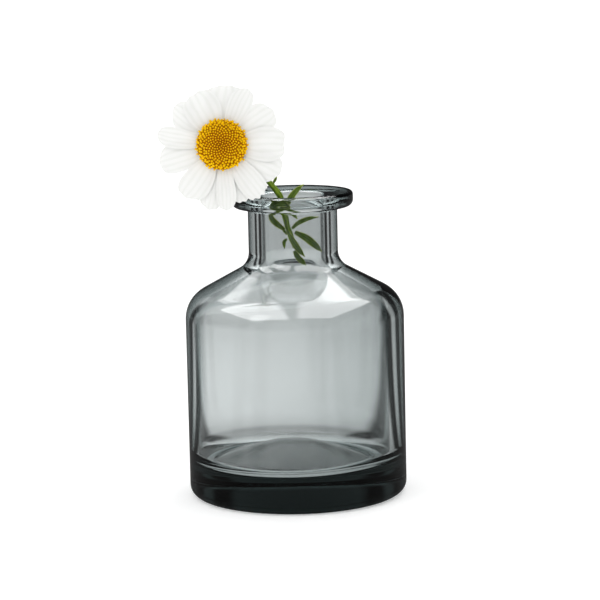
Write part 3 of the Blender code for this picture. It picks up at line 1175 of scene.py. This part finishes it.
    def core(self) -> bpy.types.Object:
        """The dome that the florets grow from.

        Returns:
            The dome.
        """
        bpy.ops.mesh.primitive_uv_sphere_add(segments=48, ring_count=24, radius=self.disc_radius)
        core = added("disc_core")
        lift = self.disc_base()
        with editing(core):
            bpy.ops.mesh.select_all(action="SELECT")
            bpy.ops.mesh.bisect(plane_co=(0, 0, 0), plane_no=(0, 0, 1), clear_inner=True,
                                use_fill=True)
        ages = core.data.attributes.new("age", "FLOAT", "POINT")
        core.data.attributes.new("tip", "FLOAT", "POINT")
        for vertex, age in zip(core.data.vertices, ages.data):
            r = vertex.co.xy.length
            z = self.dome_at(r)[0] - 0.1 * MM if vertex.co.z > 1e-6 else 0.0
            age.value = r / self.disc_radius * 0.6
            vertex.co = self.out(Vector((vertex.co.x * 0.97, vertex.co.y * 0.97, lift + z)))
        core.data.update()
        close_skin(core)
        smooth(core, 60)
        # The core shows between the florets and takes their pit colour, which is painted shade.
        core.data.materials.append(self.core_finish)
        show(core, Body.HEAD, Slot.DISC, "flower_disc")
        return core

    def cup_size(self) -> tuple[float, float]:
        """The CAD cup's top, over the pivot, and its radius."""
        points = self.local("flower_cup")
        return max(p.z for p in points), max(p.xy.length for p in points)

    def cup(self) -> bpy.types.Object:
        """The cup's smooth heart and its stalk, turned.

        Returns:
            The heart.
        """
        top, wide = self.cup_size()
        wide *= 0.93
        corners = [(0.0, top, 0.0), (wide, top, 0.5 * MM),
                   (wide * 0.8, top - 2.2 * MM, 1.5 * MM),
                   (self.stalk_radius, top - 4.2 * MM, 0.8 * MM),
                   (self.stalk_radius, 0.2 * MM, 0.0), (0.0, 0.0, 0.0)]
        cup = trace_outline("cup_heart", round_corners(corners, 12))
        turn_wire(cup, 36)
        for vertex in cup.data.vertices:
            vertex.co = self.out(vertex.co)
        cup.data.update()
        smooth(cup, 50)
        give_round_uv(cup, self.pivot, self.axes)
        cup.data.materials.append(self.cup_finish)
        show(cup, Body.HEAD, Slot.STEM, "flower_cup")
        return cup

    def bract(self, index: int, row: int, top: float, wide: float) -> bpy.types.Object:
        """One scale of the cup: a pointed blade that hugs it.

        Args:
            index: Its number in its row.
            row: Its row, from 0.
            top: The cup's top.
            wide: The cup's radius.

        Returns:
            The scale.
        """
        shift = Matrix.Rotation((index + 0.5 * row) * 2 * math.pi / self.scales, 3, "Z")
        length = (4.4 - 0.7 * row) * MM

        def place(s: float, t: float) -> Vector:
            """The scale's point at s across and t along.

            Args:
                s: From -1 at one side to 1 at the other.
                t: From 0 at the stalk to 1 at the petals.

            Returns:
                The point, in the model's frame.
            """
            half = 0.95 * MM * math.sin(math.pi * (0.2 + 0.8 * t)) ** 0.6
            down = length * (1 - t)
            rise = smooth_step(0.0, 4.6 * MM, 4.3 * MM - down)
            r = 1.2 * MM + (wide - 0.9 * MM) * rise + (0.2 + 0.14 * row) * MM
            z = top - down - 0.5 * MM * row + 0.12 * MM * s * s
            return self.out(shift @ Vector((r, s * half, z)))

        name = f"cup_scale_{row * self.scales + index + 1:02d}"
        return Blade(name, 6, 10, 0.18 * MM).build(place, self.cup_finish)

    def bracts(self) -> bpy.types.Object:
        """Two rows of scales round the cup, joined as one piece.

        Returns:
            The scales.
        """
        top, wide = self.cup_size()
        scales = [self.bract(n, row, top, wide) for row in (0, 1) for n in range(self.scales)]
        for scale in scales:
            scale.select_set(True)
        bpy.context.view_layer.objects.active = scales[0]
        bpy.ops.object.join()
        joined = added("cup_scales")
        show(joined, Body.HEAD, Slot.STEM)
        return joined

    def build(self) -> None:
        """Model the whole head."""
        self.core()
        self.scatter()
        names = sorted(n for n in frame["nodes"] if n.startswith("ray_petal"))
        plans = [self.plan(name) for name in names]
        self.layer_at = sum(plan.layer for plan in plans) / len(plans)
        for index, plan in enumerate(plans):
            self.petal(plan, index)
        self.cup()
        self.bracts()


def give_round_uv(obj: bpy.types.Object, origin: Vector, axes: Matrix) -> None:
    """A UV map that runs round an axis and along it.

    Args:
        obj: The piece, in the model's frame.
        origin: A point on the axis.
        axes: A rotation whose Z is the axis.
    """
    back = axes.transposed()
    for loop, uv in zip(obj.data.loops, uv_layer(obj).data):
        p = back @ (obj.data.vertices[loop.vertex_index].co - origin)
        uv.uv = (math.atan2(p.y, p.x) / (2 * math.pi), p.z / (10 * MM))


# --- Sprig ------------------------------------------------------------------
@dataclass
class LeafPlan:
    """One leaf: the waypoints of its midrib as shares of its CAD box, and its width."""

    name: str
    way: tuple[tuple[float, float, float], ...]
    width: float
    fold: float = 0.25


LEAF_PLANS = (
    LeafPlan("leaf_above_rim",
             ((0.0, 0.3, 0.0), (0.22, 0.2, 0.3), (0.55, 0.45, 0.66), (1, 0.8, 1)), 1.8),
    LeafPlan("leaf_bract", ((0.0, 1.0, 0.0), (0.5, 0.4, 0.5), (1, 0, 1)), 0.8),
    LeafPlan("leaf_curled_top", ((0.1, 1.0, 0.0), (0.0, 0.55, 0.45), (0.2, 0.2, 0.9),
                                 (0.6, 0.0, 0.95), (1, 0.3, 0.6)), 1.7, 0.45),
    LeafPlan("leaf_curled_left",
             ((1, 0.3, 0.0), (0.55, 0.1, 0.25), (0.15, 0.15, 0.6), (0.1, 0.9, 1)), 1.6, 0.45),
    LeafPlan("leaf_mid_right", ((0.0, 1.0, 1.0), (0.5, 0.5, 0.65), (1, 0, 0)), 1.3),
    LeafPlan("leaf_right",
             ((0.0, 0.2, 0.0), (0.25, 0.1, 0.5), (0.6, 0.3, 0.85), (1, 0.9, 0.97)), 1.3),
    LeafPlan("leaf_lower_right",
             ((0.0, 0.1, 0.95), (0.4, 0.3, 0.68), (0.72, 0.6, 0.35), (1, 0.95, 0.03)), 2.1),
    LeafPlan("leaf_lower_front",
             ((0.0, 0.9, 1.0), (0.3, 0.25, 0.65), (0.62, 0.2, 0.32), (1, 0.5, 0)), 1.8),
    LeafPlan("leaf_lowest",
             ((0.05, 0.2, 1.0), (0.35, 0.4, 0.6), (0.65, 0.6, 0.3), (1, 0.8, 0)), 1.8),
    LeafPlan("leaf_small_left", ((0.9, 0.7, 1.0), (0.3, 0.5, 0.65), (0.35, 0.3, 0.0)), 1.0),
    LeafPlan("leaf_stub_left", ((1.0, 0.0, 0.0), (0.5, 0.5, 0.5), (0, 1, 1)), 0.8),
)

STEM_WAY = (
    (0.0, 0.0, 1.0), (0.0, 0.42, 0.985), (0.10, 0.75, 0.93), (0.33, 0.78, 0.83),
    (0.55, 0.72, 0.71), (0.72, 0.80, 0.58), (0.81, 0.86, 0.49), (0.85, 0.93, 0.39),
    (0.88, 0.96, 0.30), (0.91, 0.98, 0.20), (0.95, 0.99, 0.12), (1.0, 1.0, 0.0),
)


def in_box(low: Vector, high: Vector, shares: Iterable[Sequence[float]]) -> list[Vector]:
    """Points given as shares of a box, in metres."""
    return [Vector(low[i] + (high[i] - low[i]) * p[i] for i in range(3)) for p in shares]


@dataclass
class Sprig:
    """The stem and its leaves."""

    stem_finish: bpy.types.Material
    leaf_finish: bpy.types.Material
    stem_radius: float = 0.8 * MM
    leaf_thickness: float = 0.22 * MM
    bend: float = 3.0 * MM

    def stem(self) -> bpy.types.Object:
        """A ribbed tube that bends where the head nods.

        Returns:
            The stem.
        """
        low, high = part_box("flower_stem")
        low = low + Vector((1, 1, 1)) * self.stem_radius * 0.98
        high = high - Vector((1, 1, 0.4)) * self.stem_radius
        pivot, facing, _ = head_hinge()
        way = in_box(low, high, STEM_WAY)
        way[0] = pivot - facing * 1.3 * MM
        way[1] = pivot - facing * 3.4 * MM
        route = smooth_route([pivot + facing * 0.4 * MM, *way], 7)
        curve = bpy.data.curves.new("stem", "CURVE")
        curve.dimensions = "3D"
        curve.bevel_depth = self.stem_radius
        curve.bevel_resolution = 4
        curve.use_fill_caps = True
        spline = curve.splines.new("POLY")
        spline.points.add(len(route) - 1)
        for k, (point, place) in enumerate(zip(spline.points, route)):
            point.co = (*place, 1.0)
            share = k / len(route)
            point.radius = 1.05 + 0.06 * math.sin(share * 37) - 0.25 * smooth_step(0.75, 1.0, share)
        stem = bpy.data.objects.new("stem", curve)
        bpy.context.scene.collection.objects.link(stem)
        pick_only(stem)
        bpy.ops.object.convert(target="MESH")
        stem = added("stem")
        close_skin(stem)
        smooth(stem, 50)
        self.stem_uv(stem, route)
        stem.data.materials.append(self.stem_finish)
        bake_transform(stem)
        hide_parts("flower_stem")
        log.info("stem: %d faces", len(stem.data.polygons))
        return stem

    def stem_uv(self, stem: bpy.types.Object, route: list[Vector]) -> None:
        """A UV map round the stem and along it.

        Args:
            stem: The stem.
            route: The points that it runs through.
        """
        places = []
        for vertex in stem.data.vertices:
            k = min(range(len(route)), key=lambda i: (route[i] - vertex.co).length_squared)
            off = vertex.co - route[k]
            places.append((math.atan2(off.z + off.y, off.x) / (2 * math.pi), k * 0.12))
        for loop, uv in zip(stem.data.loops, uv_layer(stem).data):
            uv.uv = places[loop.vertex_index]

    def leaf(self, plan: LeafPlan) -> bpy.types.Object:
        """One slim leaf, folded a little along its midrib.

        Args:
            plan: Its waypoints and width.

        Returns:
            The leaf.
        """
        low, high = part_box(plan.name)
        route = smooth_route(in_box(low, high, plan.way), 10)
        last = len(route) - 1
        front = Vector((0.0, -1.0, 0.0))
        half_width = plan.width * MM / 2

        def place(s: float, t: float) -> Vector:
            """The leaf's point at s across and t along.

            Args:
                s: From -1 at one edge to 1 at the other.
                t: From 0 at the stem to 1 at the tip.

            Returns:
                The point, in the model's frame.
            """
            k = round(t * last)
            along = (route[min(k + 1, last)] - route[max(k - 1, 0)]).normalized()
            side = front.cross(along).normalized()
            face = along.cross(side).normalized()
            half = half_width * max(0.22, math.sin(math.pi * (0.12 + 0.83 * t)) ** 0.75)
            half *= 1 - 0.75 * smooth_step(0.8, 1.0, t)
            wavy = 0.10 * MM * math.sin(t * 15) * abs(s)
            lift = plan.fold * half * (abs(s) - 0.5) + wavy
            return route[k] + side * (s * half) + face * lift

        blade = Blade(plan.name.replace("leaf_", "blade_"), 8, last, self.leaf_thickness)
        leaf = blade.build(place, self.leaf_finish)
        show(leaf, Body.SPRIG, Slot.LEAF, plan.name)
        return leaf

    def build(self) -> None:
        """Model the stem and every leaf."""
        self.stem()
        for plan in LEAF_PLANS:
            self.leaf(plan)


# --- Studio -----------------------------------------------------------------
@dataclass(frozen=True)
class Lamp:
    """One soft square light: where it hangs, its side in metres and its watts."""

    name: str
    place: tuple[float, float, float]
    side: float
    power: float


@dataclass(frozen=True)
class Panel:
    """One panel overhead: its edges as slopes from straight up, and its light."""

    left: float
    right: float
    near: float
    far: float
    light: float


@dataclass
class Studio:
    """Pale floor, soft light from a pale room, and the camera."""

    floor_finish: bpy.types.Material
    camera_distance: float = 0.7445
    camera_height_angle: float = math.radians(10.03)
    camera_roll: float = math.radians(1.27)
    lens: float = 154.4
    aim: Vector = field(default_factory=lambda: Vector((1.6 * MM, 0.0, 56.4 * MM)))
    focus: Vector = field(default_factory=lambda: Vector((0.0, 0.0, 43.0 * MM)))
    lit_point: Vector = field(default_factory=lambda: Vector((0.0, 0.0, 0.05)))
    lamps: tuple[Lamp, ...] = (Lamp("lamp_left", (-0.9, -0.9, 1.3), 0.5, 2.2),
                               Lamp("lamp_behind", (0.5, 0.9, 1.5), 0.6, 2.5))
    room_light: float = 0.92
    mirrored_light: float = 0.03
    corner_light: float = 0.05
    upper_light: float = 0.6
    high_light: float = 3.4
    soft: float = 0.06
    panels: tuple[Panel, ...] = (Panel(-1.25, -0.14, -1.10, 0.40, 7.0),
                                 Panel(0.04, 0.95, -1.00, 0.72, 5.5),
                                 Panel(-0.75, -0.42, 0.62, 1.10, 3.0))

    def floor(self) -> None:
        """A wide floor under the vase."""
        bpy.ops.mesh.primitive_circle_add(vertices=64, radius=6.0, fill_type="NGON",
                                          location=(0, 0, 0))
        floor = added("floor")
        floor.data.materials.append(self.floor_finish)

    def camera(self) -> None:
        """The camera, a little above the rim, looking slightly down."""
        data = bpy.data.cameras.new("camera")
        data.lens = self.lens
        data.sensor_width = 36.0
        data.clip_start, data.clip_end = 0.01, 50.0
        camera = bpy.data.objects.new("camera", data)
        bpy.context.scene.collection.objects.link(camera)
        angle = self.camera_height_angle
        back = Vector((0.0, -math.cos(angle), math.sin(angle)))
        camera.location = self.focus + back * self.camera_distance
        look = (self.aim - camera.location).to_track_quat("-Z", "Y").to_matrix().to_4x4()
        camera.matrix_world = (Matrix.Translation(camera.location) @ look
                               @ Matrix.Rotation(-self.camera_roll, 4, "Z"))
        bpy.context.scene.camera = camera

    def hang(self, lamp: Lamp) -> None:
        """Hang one lamp, turned to the vase.

        Args:
            lamp: The lamp.
        """
        data = bpy.data.lights.new(lamp.name, "AREA")
        data.shape = "RECTANGLE"
        data.size = data.size_y = lamp.side
        data.energy = lamp.power
        hung = bpy.data.objects.new(lamp.name, data)
        bpy.context.scene.collection.objects.link(hung)
        hung.location = lamp.place
        aim = self.lit_point - Vector(lamp.place)
        hung.rotation_euler = aim.to_track_quat("-Z", "Y").to_euler()

    def room(self) -> None:
        """A pale room with darker corners; a gloss sees it dark, as past a lamp's edge.

        High up it is brighter for light that has come through the glass.
        """
        world = bpy.data.worlds.new("pale_room")
        bpy.context.scene.world = world
        world.use_nodes = True
        graph = Graph(world.node_tree)
        world.node_tree.nodes.clear()
        way = graph.node("TexCoord").outputs["Generated"]
        split = graph.node("SeparateXYZ", Vector=way)
        high = graph.span(split.outputs["Z"], 0.30, 0.7)
        path = graph.node("LightPath").outputs
        passed = graph.maths("MINIMUM", path["Transmission Depth"], 1.0)
        over = graph.span(passed, start=self.upper_light, end=self.high_light)
        bent = graph.mix(high, dark_corners(graph, way, self.corner_light), over)
        even = graph.maths("MAXIMUM", path["Is Camera Ray"], path["Is Diffuse Ray"])
        gloss = graph.maths("ADD", self.softboxes(graph, split), self.mirrored_light)
        level = graph.mix(mirrored(graph), graph.mix(even, bent, self.room_light), gloss)
        background = graph.node("Background", Color=(1.0, 1.0, 1.0), Strength=level)
        graph.dress(graph.node("OutputWorld"), Surface=background.outputs[0])

    def softboxes(self, graph: Graph, way: bpy.types.Node) -> bpy.types.NodeSocket:
        """Soft-edged panels overhead, for gloss only.

        Args:
            graph: The room's graph.
            way: The direction, split into X, Y and Z.

        Returns:
            The panels' light, and 0 outside them.
        """
        up = graph.maths("MAXIMUM", way.outputs["Z"], 0.05)
        across = graph.maths("DIVIDE", way.outputs["X"], up)
        along = graph.maths("DIVIDE", way.outputs["Y"], up)
        total: object = 0.0
        for panel in self.panels:
            lit: object = panel.light
            for value, start, turn in ((across, panel.left, 1), (across, panel.right, -1),
                                       (along, panel.near, 1), (along, panel.far, -1)):
                edge = graph.span(value, start - turn * self.soft, start + turn * self.soft,
                                  eased=True)
                lit = graph.maths("MULTIPLY", lit, edge)
            total = graph.maths("ADD", total, lit)
        return total

    def build(self) -> None:
        """Set the stage."""
        self.floor()
        self.camera()
        for lamp in self.lamps:
            self.hang(lamp)
        self.room()
        bpy.context.scene.view_settings.view_transform = "Standard"


def main() -> None:
    """Build every piece in order."""
    logging.basicConfig(level=logging.INFO, format="%(message)s")
    fibres = fibre_group()
    petal_finish = PlantSkin(
        "petal_white", light=(0.87, 0.875, 0.855), dark=(0.82, 0.83, 0.80), lines=5.0,
        roughness=0.6, relief=0.10, glow=0.25).build(fibres)
    stem_finish = PlantSkin(
        "stem_green", light=(0.24, 0.36, 0.02), dark=(0.07, 0.14, 0.01), lines=5.0,
        roughness=0.5, relief=0.5, glow=0.08, scatter=(0.5, 1.0, 0.2)).build(fibres)
    leaf_finish = PlantSkin(
        "leaf_green", light=(0.16, 0.26, 0.02), dark=(0.03, 0.075, 0.008), lines=3.0,
        roughness=0.45, relief=0.5, glow=0.08, scatter=(0.5, 1.0, 0.2),
        margin=(0.42, 0.50, 0.10)).build(fibres)
    Bottle(SmokedGlass().build()).build()
    FlowerHead(petal_finish, FloretSkin("disc_florets").build(),
               FloretSkin("disc_core", tip=(0.5, 0.2, 0.005)).build(), stem_finish).build()
    Sprig(stem_finish, leaf_finish).build()
    Studio(PaleFloor().build()).build()


if __name__ == "__main__":
    main()
